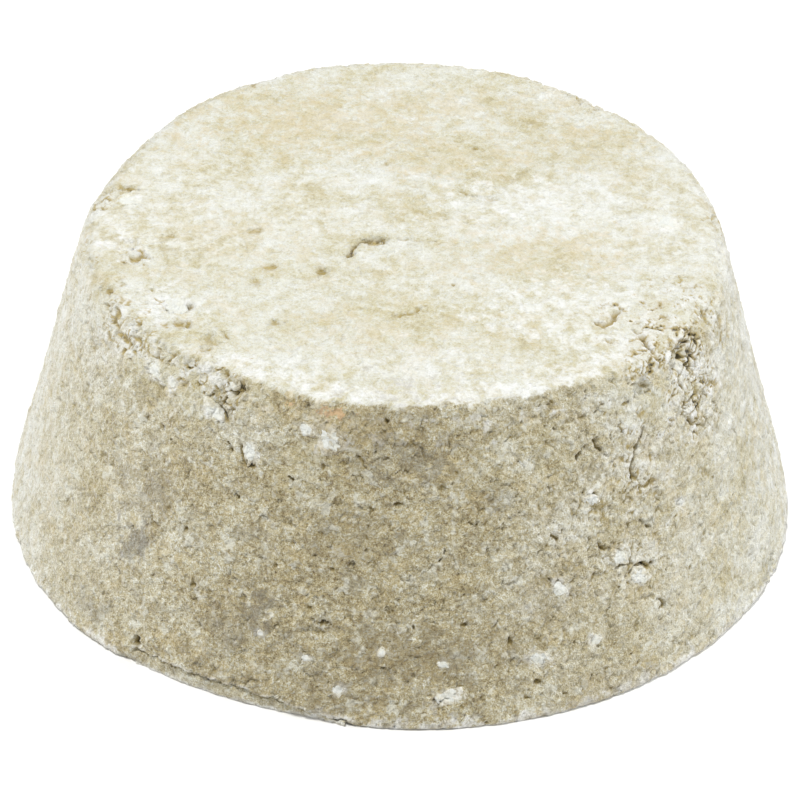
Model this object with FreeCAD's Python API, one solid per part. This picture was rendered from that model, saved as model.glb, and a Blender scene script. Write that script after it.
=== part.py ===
# Shaving soap puck: a pressed cake of hard soap, wide at the foot and narrower at the top,
# with white flakes seated in its skin and crumbs lodged where its edges have broken.
#
# The cake stands on its wide end. +Z is up, the origin is the middle of the flat underside,
# and the front of the cake faces -Y. Lengths are in millimetres and angles in degrees.
# An azimuth is a direction round the cake: 0 at the front, growing towards +X.
import FreeCAD, Part
import math
import os

# The cake
BASE_RADIUS = 30.0
TOP_RADIUS = 23.4
HEIGHT = 23.6
RIM_ROUNDING = 1.6
SLOPE = math.atan((BASE_RADIUS - TOP_RADIUS) / HEIGHT)

# The mould left the cake a little out of round: (number of bulges, bulge, azimuth of a bulge)
BASE_BULGES = ((2, 0.13, -8), (4, 0.24, 39), (6, 0.17, 5), (7, 0.08, -24))
TOP_BULGES = ((2, 0.08, 81), (3, 0.34, 56), (5, 0.19, -8), (6, 0.11, -11))
OUTLINE_POINTS = 48
WALL_LAYERS = 4

# The lip is a thin chip of the foot that has split off along a nearly straight crack
LIP_AZIMUTH = -23
LIP_CHORD = 28.5
LIP_HEIGHT = 1.1
LIP_GAP = 0.15

# Seated pieces are uneven, faceted chips, widest a share of their depth under the surface and
# seated a share of their smaller side deep
CHIP_CORNERS = 7
CHIP_UNEVENNESS = 0.14
CHIP_UNEVEN_STEP = 2.4
CHIP_FACE_SCALE = 0.72
CHIP_FLOOR_SCALE = 0.6
CHIP_WIDEST_SHARE = 0.25
CHIP_SEAT_SHARE = 0.5
FLAKE_PROUD = 0.12
LUMP_PROUD = 0.30
LUMP_GAP = 0.12

# White flakes in the wall: azimuth, height, width, length, lean
WALL_FLAKES = {
    "front_flake": (-26, 18.8, 1.0, 1.9, 18),
    "brow_flake": (-12, 21.0, 1.5, 1.6, 0),
    "brow_chip": (-16.5, 21.4, 1.1, 1.0, 20),
    "corner_flake": (-34, 20.7, 1.7, 1.0, -10),
    "left_shoulder_flake": (-48, 21.3, 1.9, 1.2, 0),
    "toe_flake": (7, 2.4, 1.8, 1.2, 20),
    "skirt_flake": (21, 4.6, 1.9, 1.2, -25),
    "crack_flake": (39, 8.3, 1.7, 1.3, 0),
}

# White flakes at the edge of the top: azimuth, distance from the middle, width, length, lean
TOP_FLAKES = {
    "left_rim_flake": (-81, 20.8, 2.0, 2.6, 0),
    "left_back_rim_flake": (-97, 21.0, 1.3, 1.6, 10),
    "left_front_rim_flake": (-56, 19.9, 2.6, 2.8, 15),
    "right_rim_flake": (95, 19.3, 1.8, 1.4, 0),
}

# The many flakes of about a millimetre or less, kept as one group: azimuth, height, size
SMALL_FLAKES = (
    (-8, 2.8, 0.8),
    (-2, 5.7, 0.7),
    (-20, 5.9, 0.6),
    (-13, 4.7, 0.6),
    (-31.4, 23.0, 0.8),
    (-43.5, 21.2, 0.8),
    (7, 4.9, 0.7),
    (25, 9.2, 1.2),
    (32, 15.2, 1.1),
    (30, 4.8, 0.8),
    (36, 10.3, 1.2),
    (49, 12.0, 0.7),
    (118, 14.0, 1.0),
    (152, 6.5, 0.9),
    (-170, 17.5, 1.0),
    (-110, 10.0, 0.9),
)

# Lumps of soap that have broken loose in their own sockets: azimuth, height, width, length, lean
LUMPS = {
    "left_rim_lump": (-40, 22.8, 2.4, 1.5, -20),
    "right_rim_lump": (44.5, 21.7, 2.2, 2.6, 25),
    "shoulder_lump": (54.5, 22.3, 3.0, 2.4, 20),
}

# Scoops where soap has crumbled away, at the right shoulder and then at the front left of the
# rim: azimuth, height, width, length, lean
SCOOPS = (
    (59.0, 20.0, 2.8, 2.6, 15),
    (52.5, 18.6, 2.4, 2.2, -30),
    (60.5, 17.2, 2.6, 2.4, 40),
    (-33.0, 23.0, 1.4, 1.1, 10),
    (-29.0, 22.6, 1.7, 1.2, -35),
)
SCOOP_DEPTH = 0.45

# The crumbs that are stuck in those scoops: azimuth, height, size
CRUMBS = {
    "shoulder_crumbs": (
        (57.8, 20.7, 1.1),
        (60.3, 20.1, 1.0),
        (58.4, 19.2, 0.9),
        (51.6, 19.2, 1.0),
        (53.8, 18.4, 1.1),
        (59.4, 17.6, 1.0),
        (62.0, 16.8, 1.1),
    ),
    "rim_crumbs": (
        (-33.8, 22.8, 0.7),
        (-29.4, 22.4, 0.8),
    ),
}

# Cracks in the wall: azimuth, height, length, width of the mouth, depth, lean
WALL_CRACKS = (
    (41.0, 16.6, 3.6, 0.35, 1.2, 8),
    (38.5, 9.2, 2.9, 0.30, 1.0, 88),
    (37.0, 19.4, 1.5, 0.40, 0.9, -45),
    (31.0, 18.6, 1.1, 0.45, 0.8, 30),
    (-29.6, 18.2, 1.0, 0.30, 0.8, 50),
)

# Cracks in the top, four of which make its arched crevice: azimuth, distance from the middle,
# length, width of the mouth, depth, lean
TOP_CRACKS = (
    (-50, 5.8, 1.4, 0.4, 0.6, -30),
    (-54, 3.8, 1.4, 0.5, 0.8, -20),
    (-50, 1.7, 1.7, 0.6, 0.9, 100),
    (25, 1.7, 1.5, 0.4, 0.5, 70),
    (-46, 8.7, 1.0, 0.8, 0.5, 60),
    (2, 10.8, 2.0, 0.5, 0.4, -75),
)

# Round pits in the wall: azimuth, height, width of the mouth, depth
WALL_PITS = (
    (-39, 1.9, 0.9, 0.5),
    (-32, 7.7, 0.7, 0.3),
    (-11, 7.5, 0.6, 0.3),
    (21, 2.8, 0.8, 0.4),
    (17, 6.1, 0.7, 0.3),
    (-41, 17.3, 0.7, 0.4),
    (7, 17.8, 0.6, 0.3),
    (42, 11.9, 0.7, 0.4),
    (100, 12.0, 0.8, 0.4),
    (140, 18.0, 0.9, 0.4),
    (-150, 5.0, 0.8, 0.4),
    (-115, 19.0, 0.9, 0.4),
)

# The crumb that lies in the arched crevice: its azimuth and distance, then its width and length
CREVICE_CRUMB_SPOT = (-40, 2.7)
CREVICE_CRUMB_SIZE = (0.9, 0.7)


def bulge(bulges, azimuth):
    """Return how far the outline stands out of its circle at an azimuth."""
    return sum(size * math.cos(math.radians(count * (azimuth - peak)))
               for count, size, peak in bulges)


def wall_radius(azimuth, height):
    """Return the distance from the axis to the wall."""
    share = height / HEIGHT
    base = BASE_RADIUS + bulge(BASE_BULGES, azimuth)
    top = TOP_RADIUS + bulge(TOP_BULGES, azimuth)
    return base + (top - base) * share


def around(azimuth, radius, height):
    """Return the point at an azimuth, a distance from the axis and a height."""
    turn = math.radians(azimuth)
    return FreeCAD.Vector(radius * math.sin(turn), -radius * math.cos(turn), height)


def outline(height):
    """Return the closed wire of the cake's outline at a height."""
    points = []
    for index in range(OUTLINE_POINTS):
        azimuth = 360.0 * index / OUTLINE_POINTS
        points.append(around(azimuth, wall_radius(azimuth, height), height))
    curve = Part.BSplineCurve()
    curve.interpolate(points, PeriodicFlag=True)
    return Part.Wire(curve.toShape())


def cake_blank():
    """Return the whole cake before anything has broken off it."""
    heights = [HEIGHT * layer / (WALL_LAYERS - 1) for layer in range(WALL_LAYERS)]
    blank = Part.makeLoft([outline(height) for height in heights], True, False)
    rim = [edge for edge in blank.Edges if edge.BoundBox.ZMin > HEIGHT - RIM_ROUNDING / 2]
    return blank.makeFillet(RIM_ROUNDING, rim)


def side_radius(azimuth, height):
    """Return the distance from the axis to the side and the side's tilt, on the wall or the rim."""
    bend = HEIGHT - RIM_ROUNDING
    if height < bend + RIM_ROUNDING * math.sin(SLOPE):
        return wall_radius(azimuth, height), SLOPE
    tilt = math.asin((height - bend) / RIM_ROUNDING)
    middle = wall_radius(azimuth, bend) - RIM_ROUNDING / math.cos(SLOPE)
    return middle + RIM_ROUNDING * math.cos(tilt), tilt


def side_place(azimuth, height, lean=0):
    """Return the placement of a piece on the side: its X runs round, its Y up and its Z out."""
    radius, tilt = side_radius(azimuth, height)
    out = around(azimuth, math.cos(tilt), math.sin(tilt))
    along = around(azimuth + 90, 1, 0)
    turn = FreeCAD.Rotation(along, out.cross(along), out, "ZXY")
    leaned = FreeCAD.Rotation(FreeCAD.Vector(0, 0, 1), lean)
    return FreeCAD.Placement(around(azimuth, radius, height), turn.multiply(leaned))


def top_place(azimuth, distance, lean=0):
    """Return the placement of a piece on the top: its X runs round and its Z up."""
    along = around(azimuth + 90, 1, 0)
    up = FreeCAD.Vector(0, 0, 1)
    turn = FreeCAD.Rotation(along, up.cross(along), up, "ZXY")
    leaned = FreeCAD.Rotation(up, lean)
    return FreeCAD.Placement(around(azimuth, distance, HEIGHT), turn.multiply(leaned))


def chip_outline(width, length, level, scale):
    """Return the uneven polygon of a chip at one level of its thickness."""
    points = []
    for index in range(CHIP_CORNERS):
        turn = 2 * math.pi * index / CHIP_CORNERS
        reach = scale * (1 + CHIP_UNEVENNESS * math.sin(index * CHIP_UNEVEN_STEP))
        x = width / 2 * reach * math.cos(turn)
        y = length / 2 * reach * math.sin(turn)
        points.append(FreeCAD.Vector(x, y, level))
    points.append(points[0])
    return Part.makePolygon(points)


def chip(place, width, length, proud, depth):
    """Return a faceted chip at a placement, widest just under the surface it is seated in."""
    levels = [
        chip_outline(width, length, -depth, CHIP_FLOOR_SCALE),
        chip_outline(width, length, -depth * CHIP_WIDEST_SHARE, 1),
        chip_outline(width, length, proud, CHIP_FACE_SCALE),
    ]
    shape = Part.makeLoft(levels, True, True)
    shape.Placement = place
    return shape


def sunk(place, depth):
    """Return a placement moved into the cake by a depth."""
    inward = place.Rotation.multVec(FreeCAD.Vector(0, 0, -depth))
    return FreeCAD.Placement(place.Base + inward, place.Rotation)


def flake(place, width, length):
    """Return a white flake, seated in the skin of the cake."""
    return chip(place, width, length, FLAKE_PROUD, min(width, length) * CHIP_SEAT_SHARE)


def lump(place, width, length):
    """Return a loose lump and the slightly wider socket that it sits in."""
    depth = min(width, length) * CHIP_SEAT_SHARE
    gap = 2 * LUMP_GAP
    piece = chip(place, width, length, LUMP_PROUD, depth)
    socket = chip(place, width + gap, length + gap, LUMP_PROUD, depth)
    return piece, socket


def scoop(place, width, length):
    """Return the shallow hollow that is left where soap has crumbled away."""
    return chip(place, width, length, SCOOP_DEPTH, SCOOP_DEPTH)


def crumb(place, size):
    """Return a crumb that is stuck to the floor of a scoop."""
    return chip(sunk(place, SCOOP_DEPTH / 2), size, size, SCOOP_DEPTH, size * CHIP_SEAT_SHARE)


def crack(place, length, width, depth):
    """Return the wedge that opens a crack, twice as wide above the surface as at its mouth."""
    corners = [
        FreeCAD.Vector(-width, -length / 2, depth),
        FreeCAD.Vector(width, -length / 2, depth),
        FreeCAD.Vector(0, -length / 2, -depth),
    ]
    section = Part.Face(Part.makePolygon(corners + corners[:1]))
    wedge = section.extrude(FreeCAD.Vector(0, length, 0))
    wedge.Placement = place
    return wedge


def pit(place, mouth, depth):
    """Return the ball that leaves a round pit."""
    radius = (mouth * mouth / 4 + depth * depth) / (2 * depth)
    return Part.makeSphere(radius, sunk(place, depth - radius).Base)


def lip_block(gap):
    """Return the block that bounds the split-off lip, with a gap over it."""
    side = 2 * BASE_RADIUS
    corner = FreeCAD.Vector(-side / 2, -side - LIP_CHORD, 0)
    block = Part.makeBox(side, side, LIP_HEIGHT + gap, corner)
    block.rotate(FreeCAD.Vector(0, 0, 0), FreeCAD.Vector(0, 0, 1), LIP_AZIMUTH)
    return block


def white_flakes():
    """Return the named white flakes and the group of small ones."""
    pieces = {}
    for name, (azimuth, height, width, length, lean) in WALL_FLAKES.items():
        pieces[name] = flake(side_place(azimuth, height, lean), width, length)
    for name, (azimuth, distance, width, length, lean) in TOP_FLAKES.items():
        pieces[name] = flake(top_place(azimuth, distance, lean), width, length)
    pieces["small_flakes"] = Part.makeCompound(
        [flake(side_place(azimuth, height), size, size) for azimuth, height, size in SMALL_FLAKES])
    return pieces


def loose_lumps():
    """Return the named lumps and their sockets."""
    pieces = {}
    sockets = []
    for name, (azimuth, height, width, length, lean) in LUMPS.items():
        pieces[name], socket = lump(side_place(azimuth, height, lean), width, length)
        sockets.append(socket)
    return pieces, sockets


def crumbs():
    """Return the groups of crumbs that are stuck in the broken places."""
    groups = {}
    for name, spots in CRUMBS.items():
        groups[name] = Part.makeCompound(
            [crumb(side_place(azimuth, height), size) for azimuth, height, size in spots])
    groups["crevice_crumb"] = flake(top_place(*CREVICE_CRUMB_SPOT), *CREVICE_CRUMB_SIZE)
    return groups


def broken_places():
    """Return the solids to take out of the cake: its scoops, cracks and pits."""
    hollows = []
    for azimuth, height, width, length, lean in SCOOPS:
        hollows.append(scoop(side_place(azimuth, height, lean), width, length))
    for azimuth, height, length, width, depth, lean in WALL_CRACKS:
        hollows.append(crack(side_place(azimuth, height, lean), length, width, depth))
    for azimuth, distance, length, width, depth, lean in TOP_CRACKS:
        hollows.append(crack(top_place(azimuth, distance, lean), length, width, depth))
    for azimuth, height, mouth, depth in WALL_PITS:
        hollows.append(pit(side_place(azimuth, height), mouth, depth))
    return hollows


def cake():
    """Return every named piece of the cake."""
    blank = cake_blank()
    lumps, sockets = loose_lumps()
    seated = {**white_flakes(), **lumps, **crumbs()}
    hollows = broken_places() + sockets + [lip_block(LIP_GAP)] + list(seated.values())
    return {
        "soap_body": blank.cut(hollows),
        "base_lip": blank.common(lip_block(0)),
        **seated,
    }


def save(pieces):
    """Write each piece to its own STEP file."""
    os.makedirs("parts", exist_ok=True)
    for name, shape in pieces.items():
        shape.exportStep("parts/" + name + ".step")
        print(name, len(shape.Solids), "solid(s)", round(shape.Volume, 2), "mm3", shape.isValid())


save(cake())
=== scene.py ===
import math

import bmesh
import bpy
import numpy as np
from mathutils import Matrix, Vector


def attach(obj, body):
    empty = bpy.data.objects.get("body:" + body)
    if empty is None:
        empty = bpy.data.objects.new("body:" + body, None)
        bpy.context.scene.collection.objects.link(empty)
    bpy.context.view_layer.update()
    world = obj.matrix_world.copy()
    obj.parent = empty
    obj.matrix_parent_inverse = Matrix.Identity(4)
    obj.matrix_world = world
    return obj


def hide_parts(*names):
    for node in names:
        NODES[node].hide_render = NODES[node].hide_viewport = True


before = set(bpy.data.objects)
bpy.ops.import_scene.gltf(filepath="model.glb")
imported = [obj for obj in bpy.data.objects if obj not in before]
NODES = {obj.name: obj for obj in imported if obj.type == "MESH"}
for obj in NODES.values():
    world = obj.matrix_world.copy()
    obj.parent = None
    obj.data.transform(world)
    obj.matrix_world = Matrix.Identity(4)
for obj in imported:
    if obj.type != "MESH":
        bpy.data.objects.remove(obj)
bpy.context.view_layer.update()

MM = 0.001
UP = np.array([0.0, 0.0, 1.0])

# ---- sizes, read from the frame


def mesh_points(mesh):
    """Return a mesh's vertices in millimetres."""
    flat = np.empty(len(mesh.vertices) * 3)
    mesh.vertices.foreach_get("co", flat)
    return flat.reshape(-1, 3) / MM


def node_points(name):
    """Return a CAD node's vertices in millimetres."""
    return mesh_points(NODES[name].data)


def azimuth_of(points):
    """Return the azimuth of each point, in degrees from -180 to 180."""
    return np.degrees(np.arctan2(points[:, 0], -points[:, 1]))


def outline_at(points, level):
    """Return the outline's radius at each of the compass steps, at one level of the points."""
    step = 5.0
    ring = points[np.abs(points[:, 2] - level) < 0.01]
    azimuth, radius = azimuth_of(ring), np.hypot(ring[:, 0], ring[:, 1])
    middles = np.arange(-180, 180, step)
    gap = (azimuth[None, :] - middles[:, None] + 180) % 360 - 180
    reach = np.where(np.abs(gap) <= step, radius[None, :], 0).max(axis=1)
    return lambda wanted: np.interp(wanted, middles, reach, period=360)


CAKE = node_points("soap_body")
HEIGHT = float(CAKE[:, 2].max())
LIP_TOP = float(node_points("base_lip")[:, 2].max())
RIM_ROUNDING = 1.6
FOOT_ROUNDING = 0.3
BEND = HEIGHT - RIM_ROUNDING
TOP_OUTLINE = outline_at(CAKE, HEIGHT)
BASE_OUTLINE = outline_at(np.vstack([CAKE, node_points("base_lip")]), 0)
BASE_RADIUS = float(BASE_OUTLINE(np.arange(360)).mean())
FLAT_RADIUS = float(TOP_OUTLINE(np.arange(360)).mean())
SLOPE = math.atan((BASE_RADIUS - FLAT_RADIUS - RIM_ROUNDING) / BEND)

# ---- noise

TABLE_SIZE = 512
TABLE = np.random.default_rng(7).uniform(-1, 1, (TABLE_SIZE, 3))
SHUFFLE = np.random.default_rng(11).permutation(TABLE_SIZE)


def table_index(cell, seed):
    """Return a well mixed index into the table for each cell of a grid."""
    mixed = SHUFFLE[(cell[:, 0] + seed) % TABLE_SIZE]
    mixed = SHUFFLE[(mixed + cell[:, 1]) % TABLE_SIZE]
    return SHUFFLE[(mixed + cell[:, 2]) % TABLE_SIZE]


def smooth_noise(points, size, seed):
    """Return gradient noise, about -1 to 1, with swells `size` mm across."""
    q = points / size
    cell = np.floor(q).astype(np.int64)
    part = q - cell
    fade = part ** 3 * (part * (part * 6 - 15) + 10)
    total = np.zeros(len(points))
    for corner in np.ndindex(2, 2, 2):
        slopes = TABLE[table_index(cell + corner, seed)]
        share = np.where(corner, fade, 1 - fade).prod(axis=1)
        total += share * ((part - corner) * slopes).sum(axis=1)
    return total * 1.5


def layered_noise(points, size, seed, layers=3, keep=0.5):
    """Return noise with finer and finer layers added, each `keep` times the last."""
    total = np.zeros(len(points))
    for layer in range(layers):
        total += keep ** layer * smooth_noise(points, size / 2 ** layer, seed + 31 * layer)
    return total


class Grains:
    """The grain that each point belongs to, in a packing of grains about `size` mm across."""

    def __init__(self, points, size, seed):
        q = points / size
        cell = np.floor(q).astype(np.int64)
        part = q - cell
        first = np.full(len(points), 9.0)
        second = first.copy()
        self.own = np.zeros((len(points), 3))
        self.way = np.zeros((len(points), 3))
        for step in np.ndindex(3, 3, 3):
            step = np.array(step) - 1
            index = table_index(cell + step, seed)
            way = part - (step + 0.5 + 0.42 * TABLE[index])
            distance = np.sqrt((way ** 2).sum(axis=1))
            nearer = distance < first
            second = np.where(nearer, first, np.minimum(second, distance))
            first = np.where(nearer, distance, first)
            self.own[nearer] = TABLE[(index[nearer] * 3 + 1) % TABLE_SIZE]
            self.way[nearer] = way[nearer]
        self.gap = second - first

    def plates(self, lift, tilt):
        """Return the relief of grains as flat plates, each with its own height and tilt."""
        return lift * self.own[:, 0] + tilt * (self.own * self.way).sum(axis=1)

    def crevice(self, width):
        """Return 1 in the crevice between two grains, falling to 0 within a share of their size."""
        return 1 - step_up(0.2 * width, width, self.gap)


def step_up(low, high, value):
    """Return a smooth rise from 0 at low to 1 at high."""
    share = np.clip((value - low) / (high - low), 0, 1)
    return share * share * (3 - 2 * share)


# ---- the cake's plain form

# The grid: columns round the side, how far they crowd to the front, squares across each cap, and
# rows on the wall, on the rim's rounding and on the foot's
COLUMNS = 1400
CROWDING = 0.35
CAP = COLUMNS // 4
WALL_ROWS = 180
ARC_ROWS = 19
FOOT_ROWS = 3


def crowded(azimuth):
    """Return an even spread of azimuths drawn together towards the front."""
    return azimuth - math.degrees(CROWDING) * np.sin(np.radians(azimuth))


def wall_radius(azimuth, height):
    """Return the plain wall's distance from the axis."""
    base = BASE_OUTLINE(azimuth)
    bend = TOP_OUTLINE(azimuth) + RIM_ROUNDING / math.cos(SLOPE)
    return base + (bend - base) * height / BEND


def rounding(middle, size, tilt):
    """Return the height on a rounding at a tilt, and how far inside the wall's line it is."""
    rise = size * np.sin(tilt)
    return middle + rise, size / math.cos(SLOPE) - size * np.cos(tilt) - rise * math.tan(SLOPE)


def profile():
    """Return the side's profile, from the foot's edge to the top's, as heights and insets."""
    foot = rounding(FOOT_ROUNDING, FOOT_ROUNDING, np.linspace(-math.pi / 2, SLOPE, FOOT_ROWS + 1))
    rim = rounding(BEND, RIM_ROUNDING, np.linspace(SLOPE, math.pi / 2, ARC_ROWS + 1))
    wall = np.linspace(foot[0][-1], rim[0][0], WALL_ROWS + 1)[1:-1]
    return np.concatenate([foot[0], wall, rim[0]]), np.concatenate([foot[1], 0 * wall, rim[1]])


def cap_grid():
    """Return a square grid mapped onto the unit disc, as azimuth in degrees and share of radius."""
    line = np.linspace(-1, 1, CAP + 1)
    a, b = np.meshgrid(line, line, indexing="ij")
    wide = np.abs(a) >= np.abs(b)
    reach = np.where(wide, np.abs(a), np.abs(b))
    safe_a = np.where(a == 0, 1, a)
    safe_b = np.where(b == 0, 1, b)
    turn = np.where(wide, 45 * b / safe_a + np.where(a < 0, 180, 0),
                    90 - 45 * a / safe_b + np.where(b < 0, 180, 0))
    return turn, reach


def ring_quads(rows, columns):
    """Return the quads between rows of points that each close on themselves, facing outward."""
    row, column = np.meshgrid(np.arange(rows - 1), np.arange(columns), indexing="ij")
    ahead = (column + 1) % columns
    quads = [row * columns + column, row * columns + ahead,
             (row + 1) * columns + ahead, (row + 1) * columns + column]
    return np.stack(quads, axis=-1).reshape(-1, 4)


class Surface:
    """The cake's plain surface as one closed grid: points, outward normals and faces."""

    def __init__(self):
        heights, inset = profile()
        self.rows = len(heights)
        azimuth = crowded(360.0 * np.arange(COLUMNS) / COLUMNS)
        radius = wall_radius(azimuth[None, :], heights[:, None]) - inset[:, None]
        side = self.at(azimuth[None, :], radius, heights[:, None])
        normal = np.cross(np.roll(side, -1, 1) - np.roll(side, 1, 1), np.gradient(side, axis=0))
        normal /= np.linalg.norm(normal, axis=2, keepdims=True)
        normal[0] = -UP
        normal[-1] = UP
        even_turn, reach = cap_grid()
        turn = crowded(even_turn)
        inner = (slice(1, -1), slice(1, -1))
        foot_edge = BASE_OUTLINE(turn) - inset[0]
        top_edge = wall_radius(turn, HEIGHT) - inset[-1]
        foot = self.at(turn, reach * foot_edge, 0)[inner].reshape(-1, 3)
        top = self.at(turn, reach * top_edge, HEIGHT)[inner].reshape(-1, 3)
        self.points = np.vstack([side.reshape(-1, 3), foot, top])
        self.normals = np.vstack([normal.reshape(-1, 3), np.tile(-UP, (len(foot), 1)),
                                  np.tile(UP, (len(top), 1))])
        self.side_count = side.shape[0] * COLUMNS
        self.cap_count = len(foot)
        self.faces = np.vstack([ring_quads(self.rows, COLUMNS), self.cap_faces(even_turn, 0, False),
                                self.cap_faces(even_turn, 1, True)])

    @staticmethod
    def at(azimuth, radius, height):
        """Return points from azimuth, distance from the axis and height."""
        turn = np.radians(azimuth)
        x, y, z = np.broadcast_arrays(radius * np.sin(turn), -radius * np.cos(turn), height)
        return np.stack([x, y, z], axis=-1)

    def cap_faces(self, turn, cap, facing_up):
        """Return one cap's quads. Its border vertices are the side's first or last row."""
        number = np.empty((CAP + 1, CAP + 1), np.int64)
        start = self.side_count + cap * self.cap_count
        number[1:-1, 1:-1] = start + np.arange(self.cap_count).reshape(CAP - 1, CAP - 1)
        border = np.ones_like(number, bool)
        border[1:-1, 1:-1] = False
        column = np.rint(turn[border] / 360 * COLUMNS).astype(np.int64) % COLUMNS
        number[border] = column + (self.rows - 1) * COLUMNS * cap
        quads = np.stack([number[:-1, :-1], number[1:, :-1], number[1:, 1:], number[:-1, 1:]],
                         axis=-1).reshape(-1, 4)
        return quads if facing_up else quads[:, ::-1]


# ---- places on the cake


class Spot:
    """A place on the cake: its middle, the directions along, up the surface and out of it."""

    def __init__(self, middle, along, out):
        self.middle = np.array(middle, float)
        self.out = np.array(out, float)
        self.along = np.array(along, float)
        self.up = np.cross(self.out, self.along)

    def leaned(self, lean):
        """Return the same place with its directions turned about the outward one."""
        turn = math.radians(lean)
        along = math.cos(turn) * self.along + math.sin(turn) * self.up
        return Spot(self.middle, along, self.out)

    def local(self, points):
        """Return points in the place's own directions: along, up and out."""
        offset = points - self.middle
        return offset @ self.along, offset @ self.up, offset @ self.out


def side_spot(azimuth, height, lean=0):
    """Return a place on the side: on the wall or, above the bend, on the rim's rounding."""
    tilt = max(SLOPE, math.asin(np.clip((height - BEND) / RIM_ROUNDING, -1, 1)))
    _, inset = rounding(BEND, RIM_ROUNDING, tilt)
    turn = math.radians(azimuth)
    level = np.array([math.sin(turn), -math.cos(turn), 0.0])
    radius = float(wall_radius(azimuth, height)) - inset
    out = level * math.cos(tilt) + UP * math.sin(tilt)
    along = [math.cos(turn), math.sin(turn), 0.0]
    return Spot(level * radius + UP * height, along, out).leaned(lean)


def top_spot(x, y, lean=0):
    """Return a place on the top."""
    return Spot([x, y, HEIGHT], [1.0, 0.0, 0.0], UP).leaned(lean)


def spot_at(point):
    """Return the place on the cake that is nearest to a point of the CAD model."""
    if np.hypot(point[0], point[1]) < FLAT_RADIUS:
        return top_spot(point[0], point[1])
    azimuth = float(azimuth_of(point[None, :])[0])
    places = [side_spot(azimuth, height) for height in np.linspace(0, HEIGHT, 240)]
    return min(places, key=lambda place: np.linalg.norm(place.middle - point))


# ---- the skin's relief and colouring

MASKS = ("pale", "bloom_and_side_light", "tint", "deep", "hollow", "stain")
# The lip lies in front of a flat crack: its azimuth, the crack's distance from the axis, and how
# many degrees the crack reaches to each side; how far the lip is set back and kept below the seam,
# and how many degrees are trimmed off each end
LIP_AZIMUTH = -23.0
LIP_CHORD = 28.5
LIP_SPAN = math.degrees(math.acos(LIP_CHORD / BASE_RADIUS))
LIP_SETBACK = 0.40
LIP_SEAM_GAP = 0.14
LIP_TRIM = 2.2
LIP_STEPS = 220
LIP_AROUND = 40
# Grain pressed flat into the skin, as size, lift, tilt, depth of the creases and seed, and grain
# broken open, with its size as a share of the place's own
PRESSED_GRAINS = ((1.1, 0.028, 0.060, 0.16, 9), (0.55, 0.030, 0.075, 0.12, 15))
BROKEN_GRAINS = ((1, 0.03, 0.05, 0.22, 71), (0.42, 0.025, 0.06, 0.13, 73))
SCATTERED_CREASES = 260


def warped(points, size, amount, seed):
    """Return points moved about by noise, so that what is laid out through them wanders."""
    return points + amount * np.stack([smooth_noise(points, size, seed + k) for k in range(3)], axis=1)


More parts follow.
